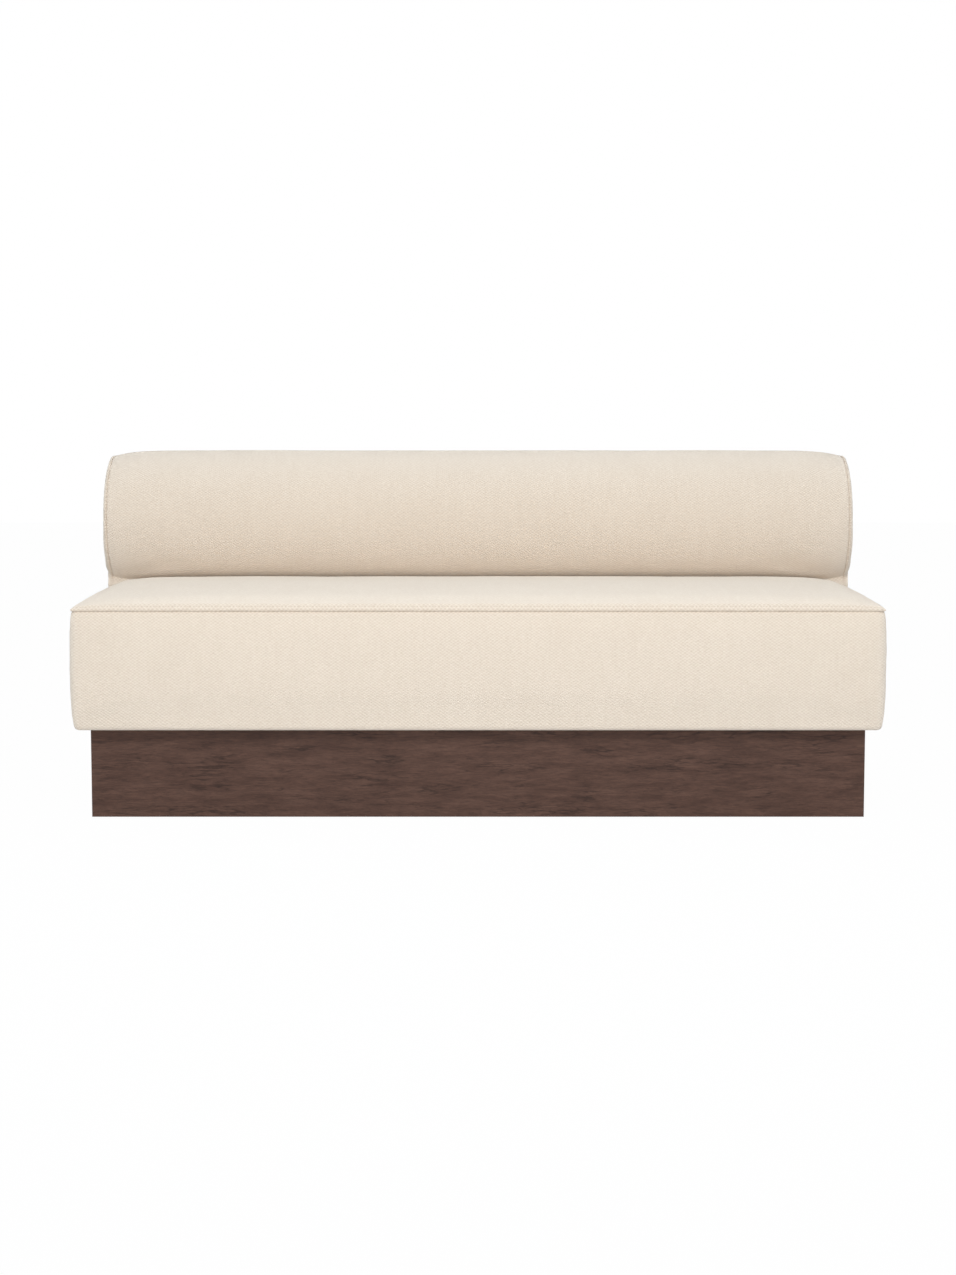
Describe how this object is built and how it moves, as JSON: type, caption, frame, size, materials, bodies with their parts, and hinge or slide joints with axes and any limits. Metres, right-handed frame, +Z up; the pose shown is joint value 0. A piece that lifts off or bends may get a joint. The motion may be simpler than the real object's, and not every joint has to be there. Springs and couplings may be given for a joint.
{
  "type": "dining sofa",
  "caption": "Armless upholstered dining sofa with a boxed crowned seat, a round bolster back on a narrow neck and a recessed dark oak plinth.",
  "frame": {"origin": "on the floor, under the middle of the sofa's width and depth", "axes": "+X along the width to the right of the sofa seen from its front, +Y towards the back, +Z up"},
  "size_m": [1.672, 0.7038, 0.74],
  "materials": {
    "upholstery_fabric": "matte, woven",
    "seat_foam": "matte, open cell",
    "frame_plywood": "matte, uncoated",
    "stained_oak": "satin, open grain",
    "zinc_steel": "satin",
    "elastic_webbing": "matte, woven",
    "dust_cover_cloth": "matte, spunbond",
    "glide_plastic": "matte"
  },
  "bodies": {
    "root": {"back_bolster_rail": "frame_plywood", "back_bolts": "zinc_steel", "back_cover": "upholstery_fabric", "back_end_covers": "upholstery_fabric", "back_end_foams": "seat_foam", "back_foot_rail": "frame_plywood", "back_front_board": "frame_plywood", "back_neck_rail": "frame_plywood", "back_rear_board": "frame_plywood", "back_rear_foam": "seat_foam", "back_rear_rail": "frame_plywood", "back_ribs": "frame_plywood", "back_tee_nuts": "zinc_steel", "back_top_board": "frame_plywood", "back_top_foam": "seat_foam", "bolster_foam": "seat_foam", "dust_cover": "dust_cover_cloth", "floor_glides": "glide_plastic", "neck_foam": "seat_foam", "plinth_bolts": "zinc_steel", "plinth_cross_rails": "frame_plywood", "plinth_fixing_blocks": "frame_plywood", "plinth_foot_blocks": "frame_plywood", "plinth_front_panel": "stained_oak", "plinth_left_panel": "stained_oak", "plinth_rear_panel": "stained_oak", "plinth_right_panel": "stained_oak", "seat_border_cover": "upholstery_fabric", "seat_cross_struts": "frame_plywood", "seat_fixing_blocks": "frame_plywood", "seat_foam_core": "seat_foam", "seat_front_pad": "seat_foam", "seat_front_rail": "frame_plywood", "seat_inner_rail": "frame_plywood", "seat_left_pad": "seat_foam", "seat_left_rail": "frame_plywood", "seat_rear_pad": "seat_foam", "seat_rear_rail": "frame_plywood", "seat_right_pad": "seat_foam", "seat_right_rail": "frame_plywood", "seat_tee_nuts": "zinc_steel", "seat_top_cover": "upholstery_fabric", "seat_topper": "seat_foam", "webbing_front_to_back": "elastic_webbing", "webbing_side_to_side": "elastic_webbing"}
  },
  "joints": []
}
